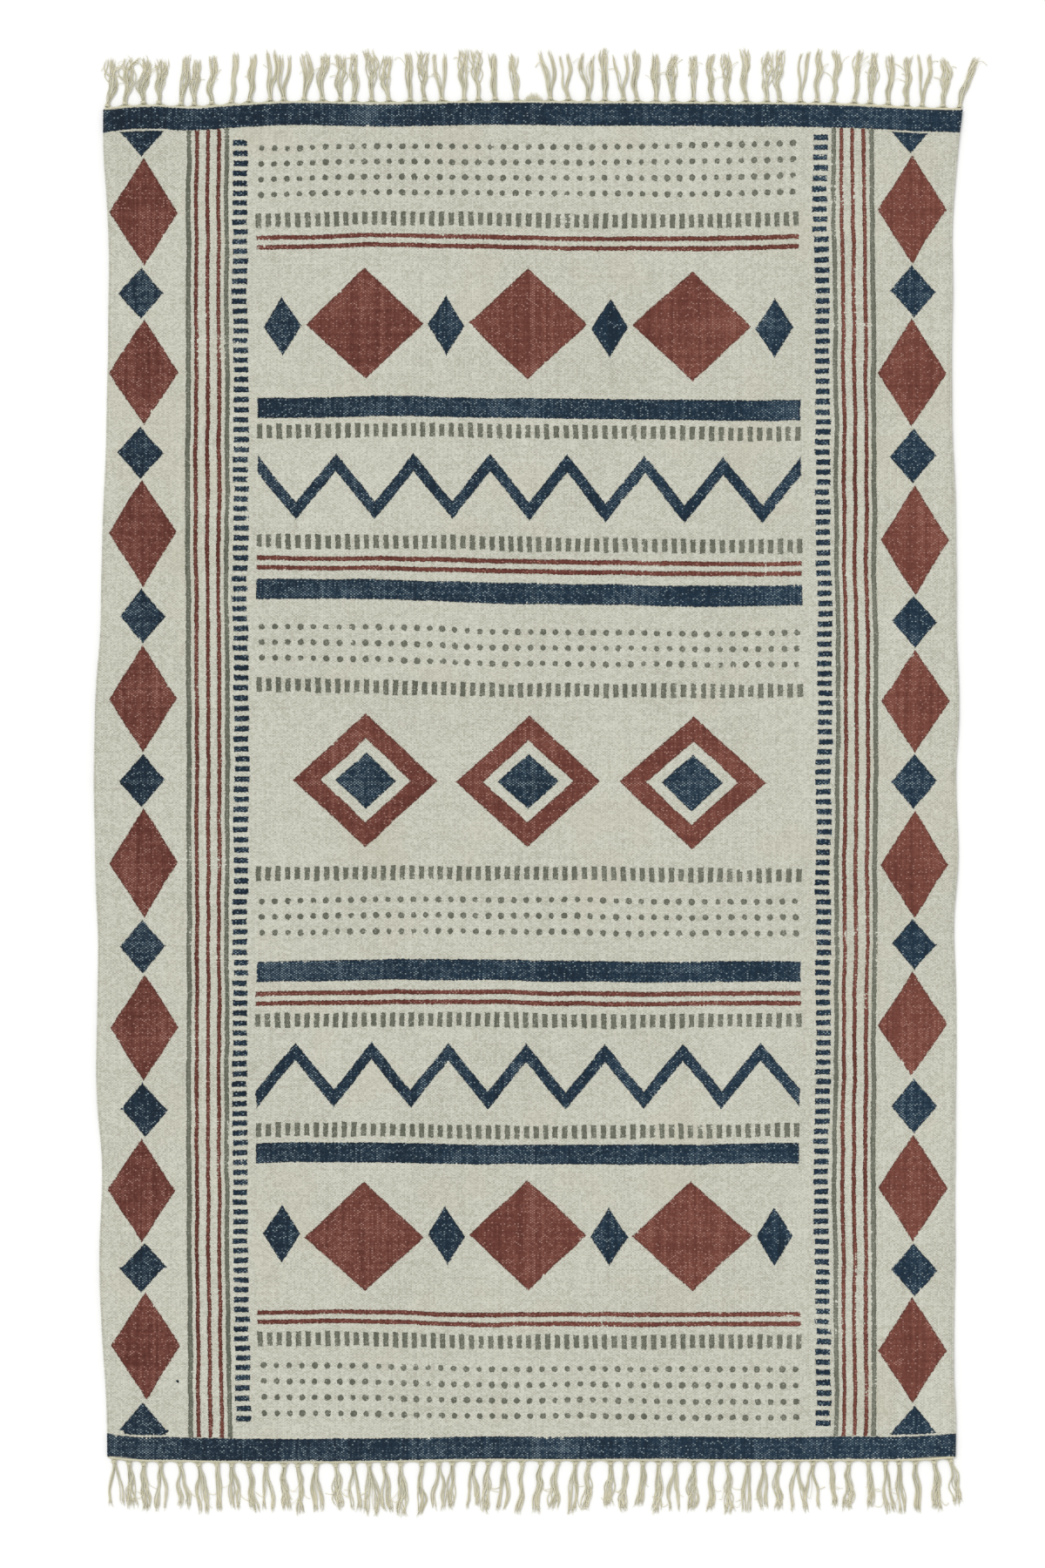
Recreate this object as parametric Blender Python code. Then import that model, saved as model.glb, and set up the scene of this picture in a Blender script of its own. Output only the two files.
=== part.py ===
"""A printed cotton dhurrie: one flat woven cloth with a fringe of knotted warp ends at each end.

Metres, +Z up. The origin is the middle of the cloth's underside, and +Y runs along its length.
"""

import math
import random
from bisect import bisect_right

import bpy
import numpy as np

COLLECTION_NAME = "dhurrie_rug"

CLOTH_WIDTH = 1.500
CLOTH_LENGTH = 2.380
CLOTH_THICKNESS = 0.004
PIECE_GAP = 0.0003
EDGE_STEP = 0.020

# The knots stand in a narrow row along each end of the cloth, and the tassels run out from it.
# Neighbours lean alike, in a slow wave of so many radians a metre.
KNOT_ROW_DEPTH = 0.0035
FRINGE_THICKNESS = 0.004
FRINGE_INSET = 0.006
NECK_WIDTH = 0.007
BELLY_WIDTH = 0.012
TIP_WIDTH = 0.013
BELLY_PLACE = 0.45
SHORTEST_TASSEL = 0.072
LONGEST_TASSEL = 0.086
ROOT_JITTER = 0.0045
TIP_JITTER = 0.0025
SHARED_LEAN = 0.007
LEAN_WAVE = 5.0

# One corner tassel leans out past the cloth's side.
CORNER_LEAN = 0.030

# The top end leaves one place empty at its middle, where the warp ends are cut short.
FRINGES = {
    "fringe_top": {"end": 1, "places": 49, "empty_place": 24, "leans_out": 48, "seed": 11},
    "fringe_bottom": {"end": -1, "places": 50, "empty_place": None, "leans_out": None, "seed": 23},
}

# A hand-woven cloth is wider in some places than in others. Each row: place along the edge
# in metres from its middle, and how far the edge lies outside the nominal one in millimetres.
LEFT_EDGE = (
    (-1.19, -11.0),
    (-1.05, -7.0),
    (-0.97, -1.0),
    (-0.82, 3.0),
    (-0.66, -1.0),
    (-0.59, 5.5),
    (-0.28, 6.0),
    (-0.13, 11.0),
    (0.18, 8.0),
    (0.26, 2.0),
    (0.41, -1.0),
    (0.56, -7.0),
    (0.72, -11.0),
    (1.02, -10.0),
    (1.10, -4.0),
    (1.19, -4.0),
)
RIGHT_EDGE = (
    (-1.19, 0.0),
    (-1.12, 1.0),
    (-1.04, -3.0),
    (-0.90, -1.0),
    (-0.60, 0.0),
    (-0.40, 2.0),
    (-0.24, -2.0),
    (-0.13, 5.0),
    (0.03, 1.0),
    (0.10, 6.0),
    (0.26, 2.0),
    (0.48, 0.0),
    (0.64, -6.0),
    (0.86, -5.0),
    (1.02, -3.0),
    (1.10, 4.0),
    (1.19, 14.0),
)
BOTTOM_EDGE = (
    (-0.77, -9.0),
    (-0.72, 0.0),
    (-0.60, 4.0),
    (0.00, 2.0),
    (0.60, 2.0),
    (0.70, 1.0),
    (0.77, -5.0),
)
TOP_EDGE = (
    (-0.77, -13.0),
    (-0.71, -5.0),
    (-0.66, -3.0),
    (-0.60, -6.0),
    (-0.53, -2.0),
    (-0.44, 3.0),
    (-0.28, 2.0),
    (0.00, 4.0),
    (0.26, 2.0),
    (0.45, 1.0),
    (0.60, -2.0),
    (0.68, -7.0),
    (0.77, -10.0),
)

ECRU_COTTON = (0.56, 0.55, 0.45, 1.0)
RAW_COTTON = (0.61, 0.58, 0.45, 1.0)


def clear_scene():
    for existing in list(bpy.data.objects):
        bpy.data.objects.remove(existing, do_unlink=True)


def make_collection(name):
    collection = bpy.data.collections.new(name)
    bpy.context.scene.collection.children.link(collection)
    return collection


def cotton(name, colour):
    material = bpy.data.materials.new(name)
    material.use_nodes = True
    shader = material.node_tree.nodes["Principled BSDF"]
    shader.inputs["Base Color"].default_value = colour
    shader.inputs["Roughness"].default_value = 0.9
    shader.inputs["Metallic"].default_value = 0.0
    return material


def outward(rows, place):
    """How far an edge lies outside its nominal place, in metres, on a cubic through its rows."""
    places = [row[0] for row in rows]
    offsets = [row[1] / 1000 for row in rows]
    slopes = np.gradient(offsets, places)
    low = min(max(bisect_right(places, place) - 1, 0), len(rows) - 2)
    span = places[low + 1] - places[low]
    t = (place - places[low]) / span
    start = offsets[low] * (1 + 2 * t) * (1 - t) ** 2 + slopes[low] * span * t * (1 - t) ** 2
    stop = offsets[low + 1] * t * t * (3 - 2 * t) - slopes[low + 1] * span * t * t * (1 - t)
    return float(start + stop)


def left_x(y):
    return -CLOTH_WIDTH / 2 - outward(LEFT_EDGE, y)


def right_x(y):
    return CLOTH_WIDTH / 2 + outward(RIGHT_EDGE, y)


def end_y(end, x):
    """The cloth's edge at its bottom end (-1) or its top end (1)."""
    return end * (CLOTH_LENGTH / 2 + outward(TOP_EDGE if end > 0 else BOTTOM_EDGE, x))


def corner(end, side_x):
    """Where a side meets an end, found by stepping between the two edges."""
    y = end * CLOTH_LENGTH / 2
    for _ in range(8):
        x = side_x(y)
        y = end_y(end, x)
    return x, y


def places_between(start, stop):
    count = math.ceil(abs(stop - start) / EDGE_STEP)
    return np.linspace(start, stop, count + 1)


def cloth_outline():
    """The points round the cloth, anticlockwise from its lower left corner."""
    low_left, low_right = corner(-1, left_x), corner(-1, right_x)
    top_left, top_right = corner(1, left_x), corner(1, right_x)
    bottom = [(x, end_y(-1, x)) for x in places_between(low_left[0], low_right[0])[:-1]]
    right = [(right_x(y), y) for y in places_between(low_right[1], top_right[1])[:-1]]
    top = [(x, end_y(1, x)) for x in places_between(top_right[0], top_left[0])[:-1]]
    left = [(left_x(y), y) for y in places_between(top_left[1], low_left[1])[:-1]]
    return bottom + right + top + left


def tassels(left, right, places, empty_place, leans_out, seed):
    """Each tassel's root, belly and tip across the cloth, and its length, from left to right."""
    chance = random.Random(seed)
    pitch = (right - left - 2 * FRINGE_INSET) / (places - 1)
    rows = []
    for place in range(places):
        root = left + FRINGE_INSET + place * pitch + chance.uniform(-ROOT_JITTER, ROOT_JITTER)
        lean = SHARED_LEAN * math.sin(LEAN_WAVE * root + seed)
        lean += chance.uniform(-TIP_JITTER, TIP_JITTER)
        sway = chance.uniform(-TIP_JITTER, TIP_JITTER)
        length = chance.uniform(SHORTEST_TASSEL, LONGEST_TASSEL)
        if place == leans_out:
            lean = CORNER_LEAN
        if place != empty_place:
            rows.append((root, root + lean / 2 + sway, root + lean, length))
    return rows


def comb_outline(end, places, empty_place, leans_out, seed):
    """The points round a fringe: its back, along the cloth, and then tassel after tassel."""
    left, right = corner(end, left_x)[0], corner(end, right_x)[0]
    back = [(x, end_y(end, x) + end * PIECE_GAP) for x in places_between(right, left)]

    def out(x, distance):
        return x, end_y(end, x) + end * distance

    front = [out(left, KNOT_ROW_DEPTH)]
    for root, belly, tip, length in tassels(left, right, places, empty_place, leans_out, seed):
        knot_y = end_y(end, root) + end * KNOT_ROW_DEPTH
        belly_y = knot_y + end * length * BELLY_PLACE
        tip_y = knot_y + end * length
        front += [
            (root - NECK_WIDTH / 2, knot_y),
            (belly - BELLY_WIDTH / 2, belly_y),
            (tip - TIP_WIDTH / 2, tip_y),
            (tip + TIP_WIDTH / 2, tip_y),
            (belly + BELLY_WIDTH / 2, belly_y),
            (root + NECK_WIDTH / 2, knot_y),
        ]
    front.append(out(right, KNOT_ROW_DEPTH))
    return back + front


def flat_piece(name, outline, thickness, material, collection):
    """A level sheet of the given outline, lying on z = 0."""
    curve = bpy.data.curves.new(name, "CURVE")
    curve.dimensions = "2D"
    curve.fill_mode = "BOTH"
    curve.extrude = thickness / 2
    spline = curve.splines.new("POLY")
    spline.points.add(len(outline) - 1)
    for point, (x, y) in zip(spline.points, outline):
        point.co = (x, y, 0.0, 1.0)
    spline.use_cyclic_u = True
    curve.materials.append(material)
    piece = bpy.data.objects.new(name, curve)
    piece.location.z = thickness / 2
    collection.objects.link(piece)
    return piece


def main():
    clear_scene()
    collection = make_collection(COLLECTION_NAME)
    cloth_cotton = cotton("ecru_cotton", ECRU_COTTON)
    flat_piece("rug_cloth", cloth_outline(), CLOTH_THICKNESS, cloth_cotton, collection)
    for name, row in FRINGES.items():
        yarn = cotton(name + "_yarn", RAW_COTTON)
        flat_piece(name, comb_outline(**row), FRINGE_THICKNESS, yarn, collection)


main()
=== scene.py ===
"""A printed cotton dhurrie lying on a pale floor: its cloth, print, selvedges and fringes.

Metres throughout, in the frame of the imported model: the rug lies on z = 0 with +Y along its length.
"""

import math
import random

import bpy
import numpy as np
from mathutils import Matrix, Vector, noise


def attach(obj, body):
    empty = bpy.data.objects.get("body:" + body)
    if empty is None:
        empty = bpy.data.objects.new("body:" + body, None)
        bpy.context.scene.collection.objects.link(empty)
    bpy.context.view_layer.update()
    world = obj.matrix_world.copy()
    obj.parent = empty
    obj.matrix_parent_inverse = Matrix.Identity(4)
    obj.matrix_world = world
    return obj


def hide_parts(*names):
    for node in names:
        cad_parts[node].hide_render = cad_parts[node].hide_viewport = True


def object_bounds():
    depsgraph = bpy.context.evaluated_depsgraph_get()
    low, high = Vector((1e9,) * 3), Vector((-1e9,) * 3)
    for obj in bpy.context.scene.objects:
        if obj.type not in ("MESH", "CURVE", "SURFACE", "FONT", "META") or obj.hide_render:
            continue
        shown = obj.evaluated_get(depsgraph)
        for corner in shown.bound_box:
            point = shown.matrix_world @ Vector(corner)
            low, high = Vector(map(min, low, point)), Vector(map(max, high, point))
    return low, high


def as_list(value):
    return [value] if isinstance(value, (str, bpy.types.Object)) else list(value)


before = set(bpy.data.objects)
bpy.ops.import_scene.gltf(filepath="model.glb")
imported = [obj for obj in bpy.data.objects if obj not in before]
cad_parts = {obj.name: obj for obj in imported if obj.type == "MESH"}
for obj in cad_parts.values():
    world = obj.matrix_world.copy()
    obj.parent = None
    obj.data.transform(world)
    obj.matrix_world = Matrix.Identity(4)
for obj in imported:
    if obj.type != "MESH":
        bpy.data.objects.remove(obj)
cad_low, cad_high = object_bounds()

# The view: straight down, with this much of the floor from the picture's top to its bottom.
CAMERA_PLACE = (-0.0101, -0.0046, 6.0)
VIEW_LENGTH = 2.756
SENSOR = 36.0

KEY_DIRECTION = (-0.55, 0.60, 1.0)
KEY_STRENGTH = 1.05
ROOM_STRENGTH = 0.80
FLOOR_RADIUS = 150.0

# The cloth. Its warps run along Y and its wefts along X.
WARP_PITCH = 0.0031
WEFT_PITCH = 0.0022
SHEET_THICKNESS = 0.0036
SHEET_COLUMNS = 150
SHEET_ROWS = 236
RIM_DEPTH = 0.0012

# How far it stands off the floor: a mean height, slow swells, ripples, slack near its sides and
# its two old folds, never less than the lowest.
MEAN_LIFT = 0.0010
LOWEST_LIFT = 0.0001
SWELL_HEIGHT = 0.0016
RIPPLE_HEIGHT = 0.0006
SLACK_HEIGHT = 0.0022
SLACK_REACH = 0.06
FOLD_X = 0.008
FOLD_Y = -0.003
FOLD_HALF_WIDTH = 0.009
FOLD_HEIGHT = 0.0009

SELVEDGE_RADIUS = 0.0019
SELVEDGE_REST = 0.0023
SELVEDGE_SIDES = 8
SELVEDGE_SWELL = 0.13

# The print runs over the selvedges as if they lay this far inside the cloth's sides.
PRINTED_SIDE = 0.02

HEADING_RADIUS = 0.0013
HEADING_SIDES = 6
HEADING_STEP = 0.0012
HEADING_TWIST = 0.0085
HEADING_INSET = 0.0004
HEADING_COIL_WIDTH = 0.0008
HEADING_COIL_HEIGHT = 0.0007

# The fringe. A rest is the height of a lowest yarn's middle line over the floor.
YARN_RADIUS = 0.00095
YARN_REST = 0.0012
YARN_SIDES = 6
YARN_RINGS = 18
YARN_LOBES = 0.14
YARN_TWIST = 180.0
STRAY_RINGS = 16
STRAY_REST = 0.0016
TIP_FIBRES = 2
PLY_PITCH = 0.0035
KNOT_PLACE = 0.0062
KNOT_HALF_WIDTH = 0.0037
KNOT_HALF_HEIGHT = 0.0024
KNOT_STRAND_RADIUS = 0.0013
KNOT_REST = 0.0015
KNOT_TURNS = 2.25
KNOT_RINGS = 26
KNOT_LOBES = 0.12
KNOT_TWIST = 400.0
NECK_HALF_WIDTH = 0.0028
NECK_HALF_HEIGHT = 0.0018
FARTHEST_FAN = 0.017
FEWEST_YARNS = 9
MOST_YARNS = 12
MISSING_TASSEL_GAP = 0.048
MOUND_HALF_WIDTH = 0.0175
MOUND_HEIGHT = 0.0085
MOUND_RINGS = 6

# The top fringe's tassels to the left of this place are tangled.
TANGLED_FROM = -0.62
TANGLED_STRAYS = 4

# Where the frame's points lie: past this from the middle line they are on the cloth's sides, and
# between these distances out from its end they are on a comb's roots or bellies, and then its tips.
SIDE_ZONE = 0.6
ROOT_ZONE = (0.002, 0.008)
BELLY_ZONE = (0.020, 0.060)

# UV maps: the share left free round each yarn's cell, and the share that the cloth's face takes.
ATLAS_MARGIN = 0.06
FACE_SHARE = 0.8

# The depths of the bump.
WEAVE_DEPTH = 0.0005
YARN_DEPTH = 0.0003


def srgb(red, green, blue):
    """A colour given on the 0 to 255 scale, as the linear colour that a shader takes."""

    def linear(channel):
        share = channel / 255
        return share / 12.92 if share <= 0.04045 else ((share + 0.055) / 1.055) ** 2.4

    return linear(red), linear(green), linear(blue), 1.0


# GROUND_SHADE to GROUND_LIGHT spans both the cloth's own uneven tone and the painted shade in the weave's
# hollows.
GROUND_SHADE = srgb(173, 172, 156)
GROUND_LIGHT = srgb(215, 215, 201)
GROUND_WARM = srgb(199, 193, 170)
NAVY_DEEP = srgb(0, 22, 37)
NAVY_BRIGHT = srgb(22, 54, 76)
NAVY_SPECK = srgb(142, 158, 163)
RED_DEEP = srgb(82, 37, 28)
RED_BRIGHT = srgb(133, 75, 61)
RED_SPECK = srgb(174, 134, 122)
GREY_DEEP = srgb(88, 91, 78)
GREY_BRIGHT = srgb(126, 129, 114)
GREY_SPECK = srgb(162, 164, 149)
# YARN_SHADE to YARN_LIGHT spans both the yarns' own tone and the painted shade in the grooves between
# their plies.
YARN_SHADE = srgb(200, 196, 169)
YARN_LIGHT = srgb(238, 235, 212)
YARN_TIP = srgb(238, 230, 198)
FLOOR_WHITE = (0.97, 0.97, 0.965, 1.0)


# ---------------------------------------------------------------------------------------------
# Reading the frame


def plan_points(node):
    """The places, seen from above, of a flat node's points."""
    found = {(round(v.co.x, 6), round(v.co.y, 6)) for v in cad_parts[node].data.vertices}
    return np.array(sorted(found))


def farthest(points, across, along):
    """The point farthest along a direction."""
    return points[np.argmax(points @ (across, along))]


class ClothEdges:
    """The four uneven edges of the cloth, each as a place for every step along it."""

    def __init__(self):
        points = plan_points("rug_cloth")
        corners = {(i, j): farthest(points, i, j) for i in (-1, 1) for j in (-1, 1)}
        self.sides = {i: self.side(points, corners, i) for i in (-1, 1)}
        self.ends = {j: self.end(points, corners, j) for j in (-1, 1)}
        self.corners = corners

    @staticmethod
    def side(points, corners, i):
        """The left side (-1) or the right side (1), from low to high."""
        low, high = corners[i, -1], corners[i, 1]
        between = (points[:, 1] >= low[1]) & (points[:, 1] <= high[1])
        on_side = (points[:, 0] * i > SIDE_ZONE) & between
        found = points[on_side]
        found = found[np.argsort(found[:, 1])]
        return found[:, 1], found[:, 0]

    @staticmethod
    def end(points, corners, j):
        """The bottom end (-1) or the top end (1), from left to right."""
        left, right = corners[-1, j], corners[1, j]
        level = min(left[1] * j, right[1] * j)
        between = (points[:, 0] >= left[0]) & (points[:, 0] <= right[0])
        on_end = (points[:, 1] * j >= level) & between
        found = points[on_end]
        found = found[np.argsort(found[:, 0])]
        return found[:, 0], found[:, 1]

    def side_x(self, i, y):
        return np.interp(y, *self.sides[i])

    def end_y(self, j, x):
        return np.interp(x, *self.ends[j])


edges = ClothEdges()


def pairs_of(points):
    """The middles of a tooth's two points, tooth after tooth across the fringe."""
    across = np.sort(points[:, 0])
    return (across[0::2] + across[1::2]) / 2


def teeth_of(node, j):
    """Each tassel's root, belly and tip across the rug, and its length, as the comb has them."""
    points = plan_points(node)
    out = j * (points[:, 1] - edges.end_y(j, points[:, 0]))
    ends_of_back = (edges.corners[-1, j][0], edges.corners[1, j][0])
    on_back = np.isclose(points[:, :1], ends_of_back, atol=2e-4).any(axis=1)
    roots = pairs_of(points[(out > ROOT_ZONE[0]) & (out < ROOT_ZONE[1]) & ~on_back])
    bellies = pairs_of(points[(out > BELLY_ZONE[0]) & (out < BELLY_ZONE[1])])
    tips = points[out > BELLY_ZONE[1]]
    tips = tips[np.argsort(tips[:, 0])]
    tip_middles = pairs_of(tips)
    lengths = j * (tips[0::2, 1] - edges.end_y(j, roots))
    return list(zip(roots, bellies, tip_middles, lengths))


# ---------------------------------------------------------------------------------------------
# Meshes


def new_object(name, vertices, faces, materials):
    mesh = bpy.data.meshes.new(name)
    mesh.from_pydata(vertices, [], faces)
    for material in materials:
        mesh.materials.append(material)
    mesh.update()
    mesh.shade_smooth()
    piece = bpy.data.objects.new(name, mesh)
    bpy.context.scene.collection.objects.link(piece)
    return piece


def add_attribute(mesh, name, kind, values):
    """A value for each point: one number, or a vector of three."""
    attribute = mesh.attributes.new(name, kind, "POINT")
    key = "value" if kind == "FLOAT" else "vector"
    attribute.data.foreach_set(key, np.asarray(values, np.float32).ravel())


class Tubes:
    """Many yarns as one mesh: rings of points joined into tubes, each with its own cell of the UV map."""

    def __init__(self, name, material):
        self.name = name
        self.material = material
        self.rings = []

    def add(self, path, radii, sides, lobes=0.0, twist=0.0, shade=0.5, plied=True):
        """One tube along a path. Its two lobes, as of a plied yarn, turn by twist radians a metre."""
        path = np.asarray(path, float)
        steps = np.linalg.norm(np.diff(path, axis=0), axis=1)
        run = np.concatenate([[0.0], np.cumsum(steps)])
        ahead = np.gradient(path, axis=0)
        ahead /= np.linalg.norm(ahead, axis=1)[:, None]
        across = np.cross(ahead, (0.0, 0.0, 1.0))
        across /= np.linalg.norm(across, axis=1)[:, None]
        up = np.cross(across, ahead)
        angle = np.arange(sides) * math.tau / sides
        swell = 1 + lobes * np.cos(2 * angle[None, :] - 2 * twist * run[:, None])
        reach = np.asarray(radii)[:, None] * swell
        rings = path[:, None, :] + reach[:, :, None] * (
            np.cos(angle)[None, :, None] * across[:, None, :]
            + np.sin(angle)[None, :, None] * up[:, None, :]
        )
        self.rings.append((rings, run, angle, shade, float(plied)))

    @staticmethod
    def cell_corner(column, row, columns, rows):
        """How a tube's own u and v, from 0 to 1, become a place in its cell of the UV map."""
        inside = 1 - 2 * ATLAS_MARGIN

        def corner(u, v):
            across = (column + ATLAS_MARGIN + inside * u) / columns
            along = (row + ATLAS_MARGIN + inside * v) / rows
            return across, along

        return corner

    def build(self):
        """All the tubes as one closed mesh, with a cap at each tube's ends."""
        vertices, faces, ply, tipward, tone, cells = [], [], [], [], [], []
        start = 0
        columns = math.ceil(math.sqrt(len(self.rings)))
        rows = math.ceil(len(self.rings) / columns)
        for index, (rings, run, angle, shade, plied) in enumerate(self.rings):
            count, sides = rings.shape[:2]
            vertices.append(rings.reshape(-1, 3))
            vertices.append(rings[[0, -1]].mean(axis=1))
            around = np.append(np.tile(angle, count), [0.0, 0.0])
            along = np.append(np.repeat(run, sides), run[[0, -1]])
            ply.append(np.stack([np.cos(around), np.sin(around), along], axis=1) * plied)
            tipward.append(along / run[-1])
            tone.append(np.full(count * sides + 2, shade))
            corner = self.cell_corner(index % columns, index // columns, columns, rows)
            for i in range(count - 1):
                for k in range(sides):
                    after = (k + 1) % sides
                    low, high = start + i * sides, start + (i + 1) * sides
                    faces.append((low + k, low + after, high + after, high + k))
                    u0, u1 = k / sides, (k + 1) / sides
                    v0, v1 = i / (count - 1), (i + 1) / (count - 1)
                    cells += [corner(u0, v0), corner(u1, v0), corner(u1, v1), corner(u0, v1)]
            first, last = start + count * sides, start + count * sides + 1
            far = start + (count - 1) * sides
            for k in range(sides):
                after = (k + 1) % sides
                u0, u1 = k / sides, (k + 1) / sides
                faces.append((first, start + after, start + k))
                cells += [corner((u0 + u1) / 2, 0), corner(u1, 0), corner(u0, 0)]
                faces.append((last, far + k, far + after))
                cells += [corner((u0 + u1) / 2, 1), corner(u0, 1), corner(u1, 1)]
            start += count * sides + 2
        piece = new_object(self.name, np.concatenate(vertices), faces, [self.material])
        mesh = piece.data
        add_attribute(mesh, "ply", "FLOAT_VECTOR", np.concatenate(ply))
        add_attribute(mesh, "tipward", "FLOAT", np.concatenate(tipward))
        add_attribute(mesh, "tone", "FLOAT", np.concatenate(tone))
        layer = mesh.uv_layers.new(name="OFBake")
        layer.data.foreach_set("uv", np.asarray(cells, np.float32).ravel())
        return piece


# ---------------------------------------------------------------------------------------------
# Shader fields


class Field:
    """A number that varies over a surface: a socket of a node tree that takes part in sums."""

    def __init__(self, tree, socket):
        self.tree = tree
        self.socket = socket

    def math(self, operation, *others):
        return math_of(self.tree, operation, self, *others)

    def __add__(self, other):
        return self.math("ADD", other)

    __radd__ = __add__

    def __sub__(self, other):
        return self.math("SUBTRACT", other)

    def __rsub__(self, other):
        return math_of(self.tree, "SUBTRACT", other, self)

    def __mul__(self, other):
        return self.math("MULTIPLY", other)

    __rmul__ = __mul__

    def __truediv__(self, other):
        return self.math("DIVIDE", other)

    def __abs__(self):
        return self.math("ABSOLUTE")

    def sine(self):
        return self.math("SINE")

    def floor(self):
        return self.math("FLOOR")

    def at_least(self, other):
        return self.math("MAXIMUM", other)

    def at_most(self, other):
        return self.math("MINIMUM", other)

    def clamped(self):
        """This, kept between 0 and 1."""
        return self.at_least(0.0).at_most(1.0)

    def from_middle(self, period, phase=0.0):
        """How far this is from the middle of its own repeat, from -period / 2 to period / 2."""
        return (self - phase + period / 2).math("FLOORED_MODULO", period) - period / 2

    def repeat(self, period, phase=0.0):
        """The number of the repeat that this falls in."""
        return ((self - phase + period / 2) / period).floor()

    def step(self, low, high, start=0.0, stop=1.0):
        """A smooth step from start to stop as this goes from low to high."""
        node = self.tree.nodes.new("ShaderNodeMapRange")
        node.interpolation_type = "SMOOTHSTEP"
        for name, value in (
            ("Value", self),
            ("From Min", low),
            ("From Max", high),
            ("To Min", start),
            ("To Max", stop),
        ):
            feed(self.tree, node.inputs[name], value)
        return Field(self.tree, node.outputs["Result"])


def feed(tree, socket, value):
    """A field or a socket is linked to the socket, and a plain value is set on it."""
    if isinstance(value, Field):
        tree.links.new(value.socket, socket)
    elif isinstance(value, bpy.types.NodeSocket):
        tree.links.new(value, socket)
    else:
        socket.default_value = value


def math_of(tree, operation, *values):
    """A field that is worked out from fields or plain numbers."""
    node = tree.nodes.new("ShaderNodeMath")
    node.operation = operation
    for socket, value in zip(node.inputs, values):
        feed(tree, socket, value)
    return Field(tree, node.outputs["Value"])


def vector_of(tree, x, y, z=0.0):
    """A vector socket from three fields or plain numbers."""
    node = tree.nodes.new("ShaderNodeCombineXYZ")
    for socket, value in zip(node.inputs, (x, y, z)):
        feed(tree, socket, value)
    return node.outputs["Vector"]


def cloud(x, y, scale, detail=2.0, seed=0.0):
    """Soft noise between about -1 and 1, of so many cycles a metre across and along.

    Each call has a seed of its own, so that no two clouds match.
    """
    tree = x.tree
    across, along = scale if isinstance(scale, tuple) else (scale, scale)
    node = tree.nodes.new("ShaderNodeTexNoise")
    node.noise_dimensions = "3D"
    feed(tree, node.inputs["Vector"], vector_of(tree, x * across, y * along, seed))
    node.inputs["Scale"].default_value = 1.0
    node.inputs["Detail"].default_value = detail
    node.inputs["Roughness"].default_value = 0.55
    return Field(tree, node.outputs["Fac"]) * 4.0 - 2.0


def chance(x, y, seed):
    """A number from 0 to 1 that is the same all over one repeat."""
    tree = x.tree
    node = tree.nodes.new("ShaderNodeTexWhiteNoise")
    node.noise_dimensions = "3D"
    feed(tree, node.inputs["Vector"], vector_of(tree, x, y, seed))
    return Field(tree, node.outputs["Value"])


def blend(tree, share, start, stop):
    """The colour between two others."""
    node = tree.nodes.new("ShaderNodeMix")
    node.data_type = "RGBA"
    colour_sockets = [socket for socket in node.inputs if socket.type == "RGBA"]
    feed(tree, node.inputs[0], share)
    feed(tree, colour_sockets[0], start)
    feed(tree, colour_sockets[1], stop)
    return next(socket for socket in node.outputs if socket.type == "RGBA")


def new_material(name):
    material = bpy.data.materials.new(name)
    material.use_nodes = True
    return material, material.node_tree, material.node_tree.nodes["Principled BSDF"]


def cotton_finish(shader):
    """Matt cotton, with the faint bloom of its loose fibres."""
    shader.inputs["Roughness"].default_value = 0.92
    shader.inputs["Specular IOR Level"].default_value = 0.2
    shader.inputs["Sheen Weight"].default_value = 0.12
    shader.inputs["Sheen Roughness"].default_value = 0.6


def add_bump(tree, shader, height, depth):
    node = tree.nodes.new("ShaderNodeBump")
    node.inputs["Strength"].default_value = 1.0
    node.inputs["Distance"].default_value = depth
    feed(tree, node.inputs["Height"], height)
    tree.links.new(node.outputs["Normal"], shader.inputs["Normal"])


def attribute_node(tree, name):
    node = tree.nodes.new("ShaderNodeAttribute")
    node.attribute_name = name
    return node


def attribute_axes(tree, name):
    """The parts of a vector attribute, as three fields."""
    split = tree.nodes.new("ShaderNodeSeparateXYZ")
    tree.links.new(attribute_node(tree, name).outputs["Vector"], split.inputs[0])
    return [Field(tree, split.outputs[axis]) for axis in "XYZ"]


def attribute_value(tree, name):
    """A number attribute, as a field."""
    return Field(tree, attribute_node(tree, name).outputs["Fac"])


def object_xy(tree):
    """The place on the rug, in metres across and along, as two fields."""
    place = tree.nodes.new("ShaderNodeTexCoord")
    split = tree.nodes.new("ShaderNodeSeparateXYZ")
    tree.links.new(place.outputs["Object"], split.inputs[0])
    return Field(tree, split.outputs["X"]), Field(tree, split.outputs["Y"])


# ---------------------------------------------------------------------------------------------
# The weave


class Weave:
    """A balanced plain weave of uneven handspun yarns, no two crossings quite alike."""

    def __init__(self, x, y):
        warp = (x + cloud(x, y, (14.0, 5.0), 1.0, 3.1) * 0.0007) / WARP_PITCH
        weft = (y + cloud(x, y, (5.0, 14.0), 1.0, 8.4) * 0.0006) / WEFT_PITCH
        self.over = (warp * math.pi).sine() * (weft * math.pi).sine()
        self.crossing = chance(warp.floor(), weft.floor(), 1.0) - 0.5
        self.grain = cloud(x, y, 420.0, 1.0, 1.7)
        self.warp_streak = cloud(x, y, (200.0, 3.0), 2.0, 4.2)
        self.weft_streak = cloud(x, y, (3.0, 260.0), 2.0, 6.6)

    def height(self):
        """Rounded yarns, some crossings standing higher than others."""
        return abs(self.over).math("POWER", 0.6) + self.crossing * 0.22


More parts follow.
